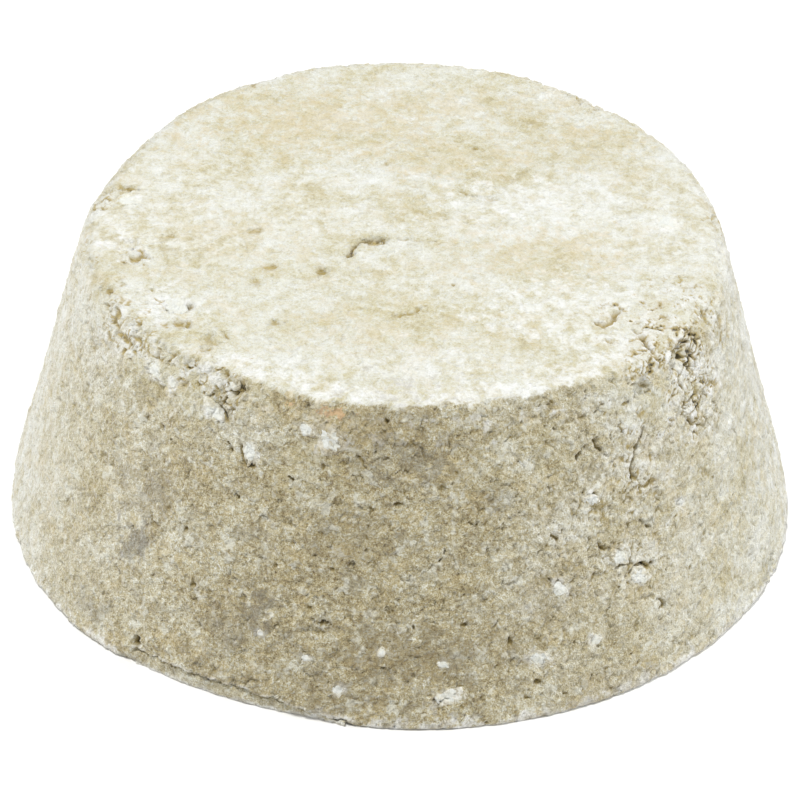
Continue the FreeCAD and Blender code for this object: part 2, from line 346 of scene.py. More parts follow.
class Skin:
    """The relief and the colour masks of a set of points on the cake."""

    def __init__(self, points, normals):
        self.points = points
        self.azimuth = azimuth_of(points)
        self.tilt = np.degrees(np.arcsin(np.clip(normals[:, 2], -1, 1)))
        self.top_share = step_up(57, 66, self.tilt + 15 * layered_noise(points, 1.1, 47, 4, 0.7))
        self.relief = np.zeros(len(points))
        self.ragged = layered_noise(points, 0.9, 41, 4, 0.75)
        self.masks = {name: np.zeros(len(points)) for name in MASKS}

    def mark(self, mask, near, share):
        """Raise a colour mask to a share at some points."""
        self.masks[mask][near] = np.maximum(self.masks[mask][near], share)

    def near(self, spot, reach):
        """Return the numbers of the points within a reach of a place."""
        return np.flatnonzero(((self.points - spot.middle) ** 2).sum(axis=1) < reach * reach)

    def oval(self, spot, width, length, ragged=0.45, grown=1.5):
        """Return nearby points and how far out each is: 0 in the middle, 1 at the oval's edge."""
        near = self.near(spot, grown * max(width, length))
        x, y, _ = spot.local(self.points[near])
        out = np.hypot(x / (width / 2), y / (length / 2))
        return near, out + ragged * self.ragged[near]

    def press(self):
        """Press the skin of the whole cake: swells, packed grains and the creases left open."""
        quiet = 1 - 0.55 * self.top_share
        self.relief += 0.11 * layered_noise(self.points, 12, 1, 2)
        self.relief += 0.055 * quiet * layered_noise(self.points, 2.8, 5, 3, 0.6)
        for size, lift, tilt, sink, seed in PRESSED_GRAINS:
            points = warped(self.points, 1.2 * size, 0.25 * size, seed)
            grains = Grains(warped(points, 0.4 * size, 0.14 * size, seed + 3), size, seed)
            gate = step_up(0.25, 0.55, smooth_noise(self.points, 0.9 * size, seed + 5))
            crease = grains.crevice(0.15) * gate
            self.relief += quiet * (grains.plates(lift, tilt) - sink * crease)
            # Painted shade in the creases between the grains.
            self.mark("hollow", slice(None), 0.45 * crease * quiet)
        self.relief += 0.030 * quiet * layered_noise(self.points, 0.42, 13, 2, 0.6)

    def sharpen_rim(self):
        """Keep the front of the rim's rounding fuller, with a ragged break along it."""
        middle = np.exp(-((self.tilt - 54) / 17) ** 2)
        front = step_up(75, 20, np.abs(self.azimuth + 5))
        chipped = 0.75 + 0.6 * layered_noise(self.points, 2.2, 45, 3, 0.6)
        bitten = 0.28 * step_up(0.05, 0.7, self.ragged) * middle
        self.relief += 0.40 * middle * front * np.clip(chipped, 0.1, 1) - bitten

    def lay_pale(self):
        """Lay the pale tone of the top and, less strongly, of the sides away from the front; on the
        sides it is partly painted light from side lighting and a grazing sheen.
        """
        # Painted light in part: the sides are paler the further round from the front they are.
        side = 0.7 * step_up(25, 90, np.abs(self.azimuth)) + 0.25 * step_up(5, 30, self.azimuth)
        side = side * (1 - 0.55 * step_up(100, 145, np.abs(self.azimuth)))
        away = step_up(20, 42, np.abs(self.azimuth - 3))
        rim = 0.85 * away * step_up(HEIGHT - 7, HEIGHT - 1, self.points[:, 2] + 2.0 * self.ragged)
        flank = np.clip(np.maximum(side, rim), 0, 0.85)
        self.mark("pale", slice(None), np.maximum(0.95 * self.top_share, flank))

    def dent(self, spot, width, length, depth, hollow=1.0):
        """Press a ragged pit, deepest near its upper edge, with painted shade in it that is darkest
        under that edge, as if lit from above.
        """
        near, out = self.oval(spot, width, length, 0.75)
        _, y, _ = spot.local(self.points[near])
        share = 1 - step_up(0.45, 1.15, out)
        upper = step_up(-0.6, 0.5, y / (0.5 * length))
        self.relief[near] -= depth * share * (0.45 + 0.55 * upper)
        self.mark("hollow", near, hollow * share * (0.6 + 0.4 * upper))

    def crack(self, path, width, depth, hollow=1.0):
        """Open a crack along a path of places, wandering a little and closing at its ends, with painted
        shade in it.
        """
        line = np.array([spot.middle for spot in path])
        middle = Spot(line.mean(axis=0), path[0].along, path[0].out)
        near = self.near(middle, np.linalg.norm(np.ptp(line, axis=0)) + 1.5)
        points = warped(warped(self.points[near], 0.8, 0.22, 51), 0.3, 0.07, 53)
        nearest = np.full(len(near), 9.0)
        share = np.zeros(len(near))
        for k in range(len(line) - 1):
            run = line[k + 1] - line[k]
            along = np.clip((points - line[k]) @ run / (run @ run), 0, 1)
            gap = np.linalg.norm(points - line[k] - along[:, None] * run, axis=1)
            closer = gap < nearest
            nearest = np.where(closer, gap, nearest)
            share = np.where(closer, (k + along) / (len(line) - 1), share)
        ends = np.clip(np.minimum(share, 1 - share) * 6, 0.15, 1) ** 0.5
        uneven = np.clip(0.9 + 0.7 * smooth_noise(points, 0.7, 57), 0.35, 1.2)
        open_share = 1 - step_up(0.35, 1.25, nearest / (0.5 * width * ends * uneven))
        self.relief[near] -= depth * open_share
        self.mark("hollow", near, hollow * open_share)

    def tone(self, mask, spot, width, length, strength, ragged):
        """Add a soft-edged, ragged oval to a colour mask."""
        near, out = self.oval(spot, width, length, ragged, grown=1.2)
        self.mark(mask, near, strength * (1 - step_up(0.35, 1.25, out)))

    def crumble(self, spot, width, length, strength, size):
        """Break an oval area into plates and crumbs with crevices between them, with painted shade in
        the crevices.
        """
        near, out = self.oval(spot, width, length, 0.5, grown=0.9)
        share = strength * (1 - step_up(0.5, 1.2, out))
        near, share = near[share > 0], share[share > 0]
        for share_of_size, lift, tilt, sink, seed in BROKEN_GRAINS:
            scale = size * share_of_size
            points = warped(self.points[near], 0.9 * scale, 0.38 * scale, seed + 7)
            points = warped(points, 0.3 * scale, 0.09 * scale, seed + 9)
            grains = Grains(points, scale, seed)
            patches = smooth_noise(points, 1.7 * scale, seed + 1)
            crevice = grains.crevice(0.15) * step_up(-0.05, 0.35, patches)
            shade = grains.crevice(0.17) * step_up(-0.1, 0.3, patches)
            self.relief[near] += share * (grains.plates(lift, tilt) - sink * crevice)
            self.mark("hollow", near, np.clip(1.25 * share * shade, 0, 1))
            self.mark("bloom_and_side_light", near, share * step_up(-0.6, 0.3, grains.own[:, 0]) * (1 - crevice))
        self.mark("pale", near, 0.9 * share)


# Places where the edges and the wall have crumbled: azimuth, height, width, length, strength, and
# size of the plates. They are the right shoulder, the wall below it, the left of the rim and some
# weaker places round the back.
BROKEN_PLACES = (
    (57.5, 20, 7.5, 10, 0.9, 1.25), (55, 23.2, 8.5, 5, 0.9, 1.35), (68, 22.5, 6, 7, 0.6, 1),
    (48, 23.3, 6.5, 4, 0.7, 1.1), (42, 16.5, 7, 10, 0.6, 1.05), (37, 9.5, 8, 6, 0.5, 1),
    (30, 14.5, 8, 7, 0.45, 0.9), (24, 9.5, 7, 7, 0.35, 0.9), (-38, 22.8, 7, 3, 0.8, 1.4),
    (-31, 22.3, 4, 3.5, 0.6, 1), (-56, 22.6, 9, 4.5, 0.65, 1.4), (-76, 22.8, 8, 4.5, 0.6, 1.4),
    (-64, 19.5, 7, 6, 0.35, 1.2), (-98, 22.9, 5, 3.5, 0.7, 1.3), (95, 23, 6, 3, 0.5, 1.3),
    (142, 23.1, 5, 3, 0.8, 1.3), (-150, 22.9, 7, 3, 0.7, 1.3), (160, 12, 8, 9, 0.4, 1.3),
    (-120, 8, 9, 7, 0.4, 1.2), (118, 18, 7, 6, 0.4, 1.3),
)


def break_edges(skin):
    """Crumble the broken places."""
    for azimuth, height, *form in BROKEN_PLACES:
        skin.crumble(side_spot(azimuth, height), *form)


# Cracks and creases in the side: azimuth and height of each place along it, then its width, depth
# and the darkness of its painted shade
SIDE_CRACKS = (
    ((44, 19, 42.3, 18, 40.3, 16.5, 40.2, 15), 0.33, 0.64, 1),
    ((35, 9.6, 37.5, 9.5, 42, 8.8), 0.3, 0.48, 0.9),
    ((23.6, 10.2, 24.8, 9.9, 25.8, 9.3), 0.32, 0.4, 0.9),
    ((31.4, 19.2, 30.6, 18.5, 30.2, 17.7), 0.34, 0.48, 1),
    ((30.5, 22.2, 31.6, 21.4, 33, 21.6), 0.3, 0.3, 0.6),
    ((33.4, 19.7, 34.2, 18.9, 35.2, 18.4), 0.34, 0.4, 0.8),
    ((40.4, 12.5, 41.6, 11.8, 43, 11.5), 0.34, 0.4, 0.75),
    ((32.3, 11.9, 33.4, 11.2, 34.8, 11.3), 0.28, 0.4, 0.85), ((32.6, 15.8, 33.2, 14.9), 0.3, 0.3, 0.8),
    ((24.8, 13.4, 25.8, 12.8), 0.3, 0.3, 0.8), ((41, 7.4, 41.2, 6.6), 0.28, 0.3, 0.8),
    ((41.6, 6, 42.8, 5.2), 0.3, 0.3, 0.8),
    ((53.4, 22.2, 53.8, 20.8, 54.5, 19.5, 53.8, 18.5), 0.31, 0.4, 1),
    ((54, 18.1, 55.4, 16.8, 57.8, 16.2, 60, 16.5), 0.28, 0.32, 0.9),
    ((58.4, 21.3, 59.4, 20.2, 58.8, 19, 59.6, 18.2), 0.3, 0.36, 1),
    ((62, 18.2, 63.4, 17.3), 0.34, 0.36, 1), ((66.5, 13.7, 67.4, 12.9, 66.6, 12.1), 0.28, 0.28, 0.65),
    ((61, 23.2, 58.8, 22.9, 56, 23.2), 0.37, 0.48, 1),
    ((67, 23.5, 65.4, 23.2, 64.8, 22.6), 0.33, 0.4, 0.95), ((-30.6, 19, -29.2, 18.2), 0.3, 0.36, 0.85),
    ((-27.9, 15.7, -26.5, 15.1), 0.28, 0.3, 0.85),
    ((-42, 17.7, -41, 17.3, -39.8, 17.1), 0.34, 0.4, 0.95), ((-47, 18.3, -47.3, 17.3), 0.32, 0.4, 0.9),
    ((0.2, 20.9, 1.6, 21.3, 3.3, 20.9, 3.8, 19.9), 0.22, 0.14, 0.5),
    ((-0.2, 19.6, 1.3, 19.1), 0.26, 0.2, 0.7), ((-8, 20.3, -6.6, 19.7, -5.2, 19.2), 0.26, 0.2, 0.7),
    ((-1, 16.9, 0.9, 16.8), 0.32, 0.3, 0.9), ((-5.3, 16.6, -4.1, 16.1), 0.22, 0.2, 0.8),
    ((11, 15.2, 12.8, 14.9), 0.26, 0.25, 0.8), ((-18.9, 17.8, -17.5, 17.6), 0.32, 0.3, 0.8),
    ((-3.4, 23.3, -2.6, 22.6), 0.33, 0.36, 0.85), ((6.3, 12.7, 7.5, 13.2), 0.2, 0.25, 1),
    ((-1.7, 9.3, -0.4, 8.8), 0.26, 0.2, 0.7), ((-36.2, 21.4, -34.6, 21.9), 0.32, 0.35, 0.85),
    ((-32.7, 21.3, -31.7, 22.1), 0.31, 0.36, 1),
    ((-62.6, 23.3, -61, 23.2, -59.4, 22.8), 0.3, 0.32, 0.7),
    ((-67, 20.6, -65.2, 19.6, -64.6, 18.4), 0.28, 0.25, 0.55),
    ((-76, 19, -75.5, 17.4, -76.5, 16), 0.26, 0.2, 0.45),
    ((-112, 20, -109, 18.6, -109.5, 16.8), 0.28, 0.4, 0.9),
    ((150, 19.8, 152.5, 18.4, 151.5, 16.8), 0.31, 0.48, 0.9),
    ((-160, 9.4, -157, 9.8, -154.5, 9.2), 0.28, 0.36, 0.9), ((96, 14.8, 98, 13.9), 0.34, 0.35, 0.8),
    ((178, 21.5, -178.5, 20.6), 0.28, 0.32, 0.8),
)

# Cracks in the top: x and y of each place along it, then its width, depth and the darkness of its
# painted shade
TOP_CRACKS = (
    ((-3.8, -2.6, -3.2, -1.8, -2.4, -1.35, -1.4, -1.7), 0.55, 0.9, 1),
    ((-3.7, -2.4, -4.1, -3.1, -4.3, -4.3), 0.5, 0.6, 1),
    ((-0.7, -1.7, 0.3, -1.5, 1.1, -1.6), 0.32, 0.3, 0.7), ((1.5, -1.7, 2.2, -1.6), 0.26, 0.2, 0.7),
    ((-0.8, -11.6, 0.2, -11.2, 1.2, -10.2), 0.5, 0.35, 0.7),
    ((3.6, 5.2, 5.2, 4.4, 6.8, 4), 0.5, 0.2, 0.45),
    ((13.6, -11.3, 14.2, -12.1, 15, -11.4, 15.6, -9.6), 0.5, 0.45, 0.8),
    ((14.3, -13.6, 15, -14.3), 0.4, 0.35, 0.9),
    ((16.5, -11.8, 17.4, -11.2, 18.3, -11.6), 0.34, 0.3, 0.7),
    ((16.4, -12.2, 17.1, -13.6, 17.9, -14.9), 0.46, 0.6, 0.95),
    ((-22, 4.2, -21, 4.3, -20, 4), 0.34, 0.3, 0.85), ((-18.7, -9.2, -17.7, -9.6), 0.34, 0.25, 0.6),
    ((-13.2, -14.2, -12.6, -15.1), 0.34, 0.3, 0.8),
)

# Pits in the side: azimuth, height, width, length, depth, darkness of the painted shade
SIDE_PITS = (
    (-29.8, 22.8, 1, 1.1, 0.5, 0.9), (-33.2, 23.3, 0.8, 0.8, 0.5, 0.95),
    (-39.4, 1.7, 0.8, 1.2, 0.6, 1), (-32, 7.7, 0.7, 0.8, 0.3, 0.85), (-36, 5.5, 0.4, 0.4, 0.2, 0.85),
    (-11, 7.5, 0.8, 0.6, 0.35, 1), (-13, 8.5, 0.5, 0.4, 0.2, 0.85), (-20, 7.3, 0.4, 0.4, 0.2, 0.95),
    (-19, 11.1, 0.4, 0.3, 0.2, 0.85), (-10, 11.6, 0.4, 0.3, 0.2, 0.85),
    (-35, 11.5, 0.5, 0.5, 0.3, 0.95), (17, 6.1, 0.7, 0.9, 0.4, 0.9), (21, 2.8, 0.7, 0.8, 0.4, 1),
    (10, 7.7, 0.6, 0.4, 0.25, 0.85), (7, 17.8, 0.8, 0.6, 0.25, 0.6), (49, 6.9, 0.3, 0.5, 0.25, 1),
    (40.8, 21.3, 0.7, 0.6, 0.35, 0.9), (13, 0.3, 0.4, 0.3, 0.2, 1), (-67, 23.4, 0.7, 0.7, 0.35, 0.85),
    (-55, 23.4, 0.7, 0.6, 0.35, 0.9), (143, 23.4, 3.4, 1.5, 0.45, 0.35),
    (-100, 23.3, 2.4, 1.2, 0.35, 0.4), (-152, 23.3, 3.2, 1.5, 0.45, 0.4),
    (70, 0.8, 2.6, 1.6, 0.45, 0.2), (100, 12, 0.8, 0.7, 0.35, 0.9), (140, 18, 0.9, 0.7, 0.4, 0.9),
    (-150, 5, 0.8, 0.7, 0.35, 0.9), (-115, 19, 0.9, 0.8, 0.4, 0.9),
)

# Pits in the top: x, y, width, length, depth, darkness of the painted shade
TOP_PITS = (
    (-2.4, -2, 1.9, 1.1, 0.45, 0.8), (-6.1, -6.1, 1.1, 1.2, 0.45, 0.8),
    (3.5, -7.4, 0.4, 0.5, 0.25, 0.95), (5, 11.1, 0.9, 0.6, 0.3, 0.9), (-1.9, 8.4, 1, 0.9, 0.25, 0.55),
    (13.2, -5.7, 0.6, 0.6, 0.25, 0.6), (-11.4, -1.1, 1.3, 0.9, 0.25, 0.55),
    (-9.9, -5.8, 1, 0.9, 0.25, 0.7), (-10.8, -7.7, 0.8, 0.9, 0.2, 0.6),
    (-15.5, -11.1, 0.7, 0.9, 0.3, 0.65), (-9.3, -12.8, 0.9, 0.7, 0.3, 0.65),
    (-17.7, -2.1, 1, 1.1, 0.25, 0.5), (-17.7, -3.8, 1.2, 1.1, 0.25, 0.5),
    (-19.8, -5.2, 1.6, 1.4, 0.45, 0.75), (-19.2, -5.9, 0.5, 0.6, 0.3, 1),
    (-20.6, -5.7, 0.5, 0.5, 0.2, 1), (-16.2, -13.4, 1.4, 1.1, 0.4, 0.75),
    (-15.6, -13.2, 0.5, 0.7, 0.3, 1), (-14, -15.4, 1.3, 2.2, 0.4, 0.5),
    (-13.9, -16.4, 0.5, 0.6, 0.3, 1), (-21.2, 3, 1.1, 2, 0.3, 0.55), (17.9, -15, 0.8, 0.9, 0.5, 1),
    (0.6, 5.4, 1, 0.6, 0.15, 0.45),
)


def open_cracks(skin):
    """Open the cracks and press the pits that show one by one."""
    for cracks, place in ((SIDE_CRACKS, side_spot), (TOP_CRACKS, top_spot)):
        for places, *form in cracks:
            skin.crack([place(*pair) for pair in zip(places[::2], places[1::2])], *form)
    for pits, place in ((SIDE_PITS, side_spot), (TOP_PITS, top_spot)):
        for first, second, *form in pits:
            skin.dent(place(first, second), *form)


def scatter_creases(skin):
    """Open small curved creases at random places, more of them on the wall's front right."""
    draw = np.random.default_rng(23)
    for _ in range(SCATTERED_CREASES):
        azimuth, height = draw.uniform(-180, 180), draw.uniform(1.0, HEIGHT - 0.5)
        if draw.random() < 0.4:
            azimuth = draw.normal(34, 17)
        size, start, turn = draw.uniform(0.12, 0.38), draw.uniform(0, 360), draw.uniform(30, 100)
        middle = side_spot(azimuth, height)
        path = []
        for share in (0, 0.33, 0.67, 1):
            angle = math.radians(start + turn * share)
            offset = size * (math.cos(angle) * middle.along + math.sin(angle) * middle.up)
            path.append(Spot(middle.middle + offset, middle.along, middle.out))
        skin.crack(path, draw.uniform(0.14, 0.26), draw.uniform(0.08, 0.22), draw.uniform(0.5, 1.0))


# Clouds of colour on the top and on the side, as ovals: a colour mask, how ragged its ovals are, and
# the ovals' places (x and y, or azimuth and height), width, length and strength
TOP_TONES = (
    ("bloom_and_side_light", 1.3, (
        (9, 3.5, 12, 7, 0.8), (12, -10, 13, 9, 0.8), (16, -13, 8, 6, 0.8), (-17.5, -11, 6, 5, 0.8),
        (-20, 1, 6, 7, 0.5), (-11, 3, 14, 6, 0.45), (0, -6, 11, 5, 0.4), (15, 6, 8, 6, 0.5),
        (-5, 6, 12, 3, 0.5), (2, -17.5, 24, 5, 0.6), (-22, 0.4, 5, 6, 0.7), (-15.2, -2.5, 7, 5, 0.6),
        (-21.4, -3.4, 3, 3.4, 1), (-17.4, -10.8, 3.4, 2.8, 1),
    )),
    ("tint", 1.4, (
        (-7, 14, 16, 7, 0.55), (3, 9.5, 10, 4, 0.55), (10, -3, 10, 5, 0.5), (-2, -13, 9, 4, 0.35),
        (14, 13, 7, 3, 0.5), (-13, -2, 8, 5, 0.35), (2, 17, 16, 4, 0.4),
    )),
)
SIDE_TONES = (
    ("deep", 1.1, (
        (1, 5.4, 12, 6, 1), (-9, 2.7, 10, 4.5, 0.6), (-24, 1.9, 8, 4, 0.6), (-43, 12.6, 5, 5, 0.8),
        (0, 21.3, 8, 5, 0.6), (-22, 6.7, 6, 6, 0.6), (-8, 13.6, 7, 5, 0.5), (14, 5.8, 6, 5, 0.5),
        (23, 8.7, 5, 4, 0.5), (30, 0.9, 8, 3, 0.5),
    )),
    ("pale", 1.1, (
        (47, 21.9, 6, 6, 0.9), (64, 21.6, 4, 6, 0.6), (-27, 22.6, 5, 3, 0.6), (-16, 18.9, 6, 6, 0.45),
        (21, 20, 8, 6, 0.45), (33, 12, 5, 5, 0.45), (44, 17.7, 6, 5, 0.45), (-39, 22, 5, 4, 0.6),
    )),
    ("tint", 0.9, (
        (-20, 23.1, 2.4, 1.4, 1), (-11, 22.9, 2.2, 1, 1), (-13, 22.4, 8, 1.6, 0.5),
    )),
    ("stain", 0.9, (
        (-44, 8.5, 2.6, 3.6, 1), (-20.5, 7.4, 3.2, 3, 0.8), (2, 19.6, 5, 3.6, 0.5),
        (-49, 2.4, 3, 2.4, 0.6), (-26, 5.5, 4, 3, 0.3), (16, 16.5, 3, 2.5, 0.4),
    )),
)


def lay_tones(skin, tables, place):
    """Lay the ovals of some colour masks."""
    for mask, ragged, ovals in tables:
        for first, second, *form in ovals:
            skin.tone(mask, place(first, second), *form, ragged)


def lay_colours(skin):
    """Lay the pale tone, the white bloom, painted light on the sides, the amber tints and the grey
    stains.
    """
    skin.lay_pale()
    lay_tones(skin, TOP_TONES, top_spot)
    for azimuth in range(-34, 52, 5):
        turn = math.radians(azimuth)
        reach = FLAT_RADIUS - 0.5
        spot = top_spot(reach * math.sin(turn), -reach * math.cos(turn), azimuth)
        skin.tone("bloom_and_side_light", spot, 3.4, 3.2, 0.95, 0.8)
    skin.masks["bloom_and_side_light"] *= np.where(skin.tilt > 35, skin.top_share, 1)
    # Painted light: the sides from 55 to 88 degrees round from the front are whitened as side lighting
    # and a grazing sheen would brighten them.
    away = np.abs(skin.azimuth)
    skin.mark("bloom_and_side_light", slice(None), 0.5 * step_up(55, 88, away) * (1 - step_up(100, 140, away)))
    lay_tones(skin, SIDE_TONES, side_spot)
    for azimuth in range(-180, 180, 9):
        skin.tone("bloom_and_side_light", side_spot(azimuth, 0.2), 5.0, 1.5, 1.0, 1.0)


def light_seam(skin):
    """Whiten the broken edge over the lip's seam and the foot beside it."""
    above = skin.points[:, 2] - seam_height(skin.azimuth)
    along = step_up(LIP_SPAN + 2, LIP_SPAN - 2, np.abs(skin.azimuth - LIP_AZIMUTH))
    edge = along * np.exp(-((above - 0.16) / 0.15) ** 2) * step_up(-0.5, 0.3, skin.ragged)
    skin.relief += 0.06 * edge
    skin.mark("bloom_and_side_light", slice(None), edge)


def seat(skin, spot, width, length, gap_side):
    """Press the socket of a seated piece, with a crevice on one side of it if one is given."""
    near, out = skin.oval(spot, width, length, 0.3, grown=1.1)
    skin.relief[near] -= 0.2 * min(width, length) * (1 - step_up(0.4, 0.8, out))
    if gap_side is not None:
        x, y, _ = spot.local(skin.points[near])
        facing = np.cos(np.arctan2(y, x) - math.radians(gap_side))
        reach = 0.18 / (0.5 * min(width, length))
        crevice = np.exp(-((out - 1.3) / reach) ** 2) * step_up(0.1, 0.6, facing)
        skin.relief[near] -= 0.35 * crevice
        # Painted shade in the crevice beside the piece.
        skin.mark("hollow", near, crevice)


# ---- meshes


def new_object(name, points, faces, material):
    """Return a smooth shaded object from points in millimetres."""
    mesh = bpy.data.meshes.new(name)
    mesh.from_pydata((points * MM).tolist(), [], faces.tolist())
    mesh.polygons.foreach_set("use_smooth", np.ones(len(mesh.polygons), bool))
    mesh.materials.append(material)
    mesh.update()
    thing = bpy.data.objects.new(name, mesh)
    bpy.context.scene.collection.objects.link(thing)
    return thing


def keep_masks(thing, masks):
    """Write the colour masks to a mesh as attributes for its material."""
    for name, values in masks.items():
        layer = thing.data.attributes.new(name, "FLOAT", "POINT")
        layer.data.foreach_set("value", values.astype(np.float32))


def lip_reach(azimuth):
    """Return the distance from the axis of the flat crack behind the lip."""
    turn = np.radians(np.clip(azimuth - LIP_AZIMUTH, -60, 60))
    return LIP_CHORD / np.cos(turn)


def seam_height(azimuth):
    """Return the height of the ragged seam over the lip, which falls away to its right."""
    places = np.stack([azimuth * 0.5, np.zeros_like(azimuth), np.zeros_like(azimuth)], axis=-1)
    ragged = layered_noise(places.reshape(-1, 3), 1.3, 83, 3, 0.6).reshape(azimuth.shape)
    return LIP_TOP + 0.25 - 0.95 * step_up(-24, -5, azimuth) + 0.20 * ragged


def cut_lip_notch(points):
    """Draw the foot in to the crack behind the lip, and return the points."""
    azimuth, radius = azimuth_of(points), np.hypot(points[:, 0], points[:, 1])
    edge = wall_radius(azimuth, points[:, 2])
    shift = np.clip(edge - lip_reach(azimuth), 0, None)
    below = 1 - step_up(-0.06, 0.06, points[:, 2] - seam_height(azimuth))
    inward = shift * below * step_up(0.7, 1.0, radius / edge)
    share = (radius - inward) / np.maximum(radius, 1e-6)
    return points * np.stack([share, share, np.ones_like(share)], axis=1)


def bake_layout(surface):
    """Return each face corner's place in the texture: the side in two strips, then the two caps."""
    heights, _ = profile()
    corner = surface.faces.reshape(-1)
    points = surface.points[corner]
    turn, reach = azimuth_of(points) % 360, np.hypot(points[:, 0], points[:, 1])
    face_turn = azimuth_of(surface.points[surface.faces].mean(axis=1)) % 360
    face_turn = np.repeat(face_turn, 4)
    turn = np.where((face_turn > 270) & (turn < 90), turn + 360, turn)
    turn = np.where((face_turn < 90) & (turn > 270), turn - 360, turn)
    sides = np.repeat(np.arange(len(surface.faces)) < (surface.rows - 1) * COLUMNS, 4)
    second = face_turn > 180
    row = np.minimum(corner // COLUMNS, surface.rows - 1) / (surface.rows - 1)
    u = 0.01 + 0.98 * (turn - 180 * second) / 180
    v = 0.005 + 0.235 * second + 0.225 * row
    cap = np.repeat(np.arange(len(surface.faces)) >= len(surface.faces) - CAP * CAP, 4)
    scale = 0.0088
    u = np.where(sides, u, np.where(cap, 0.77, 0.275) + points[:, 0] * scale)
    v = np.where(sides, v, np.where(cap, 0.74, 0.735) + points[:, 1] * scale)
    return np.stack([u, v], axis=1)


def soap_body(material, seats):
    """Make the pressed cake, with the sockets of its seated pieces."""
    surface = Surface()
    skin = Skin(surface.points, surface.normals)
    skin.press()
    skin.sharpen_rim()
    lay_colours(skin)
    break_edges(skin)
    open_cracks(skin)
    scatter_creases(skin)
    light_seam(skin)
    for spot, width, length, gap_side, powder in seats:
        seat(skin, spot, width, length, gap_side)
        skin.tone("bloom_and_side_light", spot, 1.5 * width, 1.5 * length, powder, 0.7)
    under = step_up(0.5, 0.9, -surface.normals[:, 2])
    relief = skin.relief * (1 - under) - under * np.abs(skin.relief) * 0.5
    points = cut_lip_notch(surface.points) + surface.normals * relief[:, None]
    points[:, 2] = np.maximum(points[:, 2], 0)
    body = new_object("soap_body_skin", points, surface.faces, material)
    keep_masks(body, skin.masks)
    layout = body.data.uv_layers.new(name="OFBake")
    layout.data.foreach_set("uv", bake_layout(surface).ravel())
    return body


def islands(name):
    """Return the vertices of each separate solid of a CAD node."""
    points = node_points(name)
    _, number = np.unique(np.round(points, 3), axis=0, return_inverse=True)
    number = number.ravel()
    label = np.arange(number.max() + 1)
    pairs = np.array([[number[e.vertices[0]], number[e.vertices[1]]] for e in NODES[name].data.edges])
    while True:
        low = np.minimum(label[pairs[:, 0]], label[pairs[:, 1]])
        before = label.copy()
        np.minimum.at(label, pairs[:, 0], low)
        np.minimum.at(label, pairs[:, 1], low)
        if (label == before).all():
            break
    return [points[label[number] == k] for k in np.unique(label)]


def measured_seat(points):
    """Return the place and the width and length of a seated piece of the CAD model."""
    middle = (points.min(axis=0) + points.max(axis=0)) / 2
    spot = spot_at(middle)
    x, y, _ = spot.local(points)
    spread = np.cov(np.stack([x, y]))
    lean = 0.5 * math.degrees(math.atan2(2 * spread[0, 1], spread[0, 0] - spread[1, 1]))
    spot = spot.leaned(lean)
    x, y, _ = spot.local(points)
    return spot, float(np.ptp(x)), float(np.ptp(y))


def chip_form(rings, facets, seed):
    """Return the directions, the reach in each and the faces of a many-sided, blunt-edged chip
    with a flat face up."""
    ball = bmesh.new()
    bmesh.ops.create_icosphere(ball, subdivisions=rings, radius=1)
    way = np.array([v.co for v in ball.verts])
    faces = np.array([[v.index for v in f.verts] for f in ball.faces])
    ball.free()
    draw = np.random.default_rng(seed)
    sides = draw.normal(size=(facets, 3)) * (1, 1, 0.6)
    sides = np.vstack([sides / np.linalg.norm(sides, axis=1, keepdims=True), UP])
    offsets = np.append(draw.uniform(0.7, 1.0, facets), 0.55)
    facing = np.clip(way @ sides.T, 0, None) / offsets
    return way, (facing ** 12).sum(axis=1) ** (-1 / 12), faces


def chip_mesh(spot, width, length, proud, rough, seed, rings):
    """Return the points, the faces and the colour masks of one rough chip seated at a place. Its
    face follows the skin that it is pressed into."""
    way, reach, faces = chip_form(rings, 11, seed)
    shape = way * reach[:, None]
    shape /= np.ptp(shape, axis=0)
    edge = step_up(0.35, 1.0, np.hypot(2 * shape[:, 0], 2 * shape[:, 1]))
    x, y = shape[:, 0] * width, shape[:, 1] * length
    z = (shape[:, 2] - shape[:, 2].max()) * min(width, length)
    points = spot.middle + np.outer(x, spot.along) + np.outer(y, spot.up) + np.outer(z, spot.out)
    skin = Skin(points, np.tile(spot.out, (len(points), 1)))
    skin.press()
    skin.lay_pale()
    break_edges(skin)
    for size, share in ((0.9, 1.0), (0.35, 0.6)):
        points = warped(points, size, share * rough, seed)
    points = points + np.outer(skin.relief + proud, spot.out)
    # Painted shade in the chip's crevices, kept fainter than on the cake.
    skin.masks["hollow"] *= 0.6
    masks = {"edge": edge, **{mask: skin.masks[mask] for mask in ("pale", "bloom_and_side_light", "hollow")}}
    return points, faces, masks


def seated_piece(name, material, proud, rough, grown):
    """Make the piece that stands for a node of seated chips, one or a group of them, each grown a
    little to cover the edge of its socket."""
    chips = []
    for k, solid in enumerate(islands(name)):
        spot, width, length = measured_seat(solid)
        rings = 5 if max(width, length) > 1.2 else 4
        chips.append(chip_mesh(spot, grown * width, grown * length, proud, rough * min(width, length),
                               100 + 7 * k + 13 * len(name), rings))
    starts = np.cumsum([0] + [len(points) for points, _, _ in chips])
    faces = np.vstack([faces + start for (_, faces, _), start in zip(chips, starts)])
    piece = new_object(name + "_grain", np.vstack([points for points, _, _ in chips]), faces, material)
    for mask in chips[0][2]:
        keep_masks(piece, {mask: np.concatenate([masks[mask] for _, _, masks in chips])})
    return piece


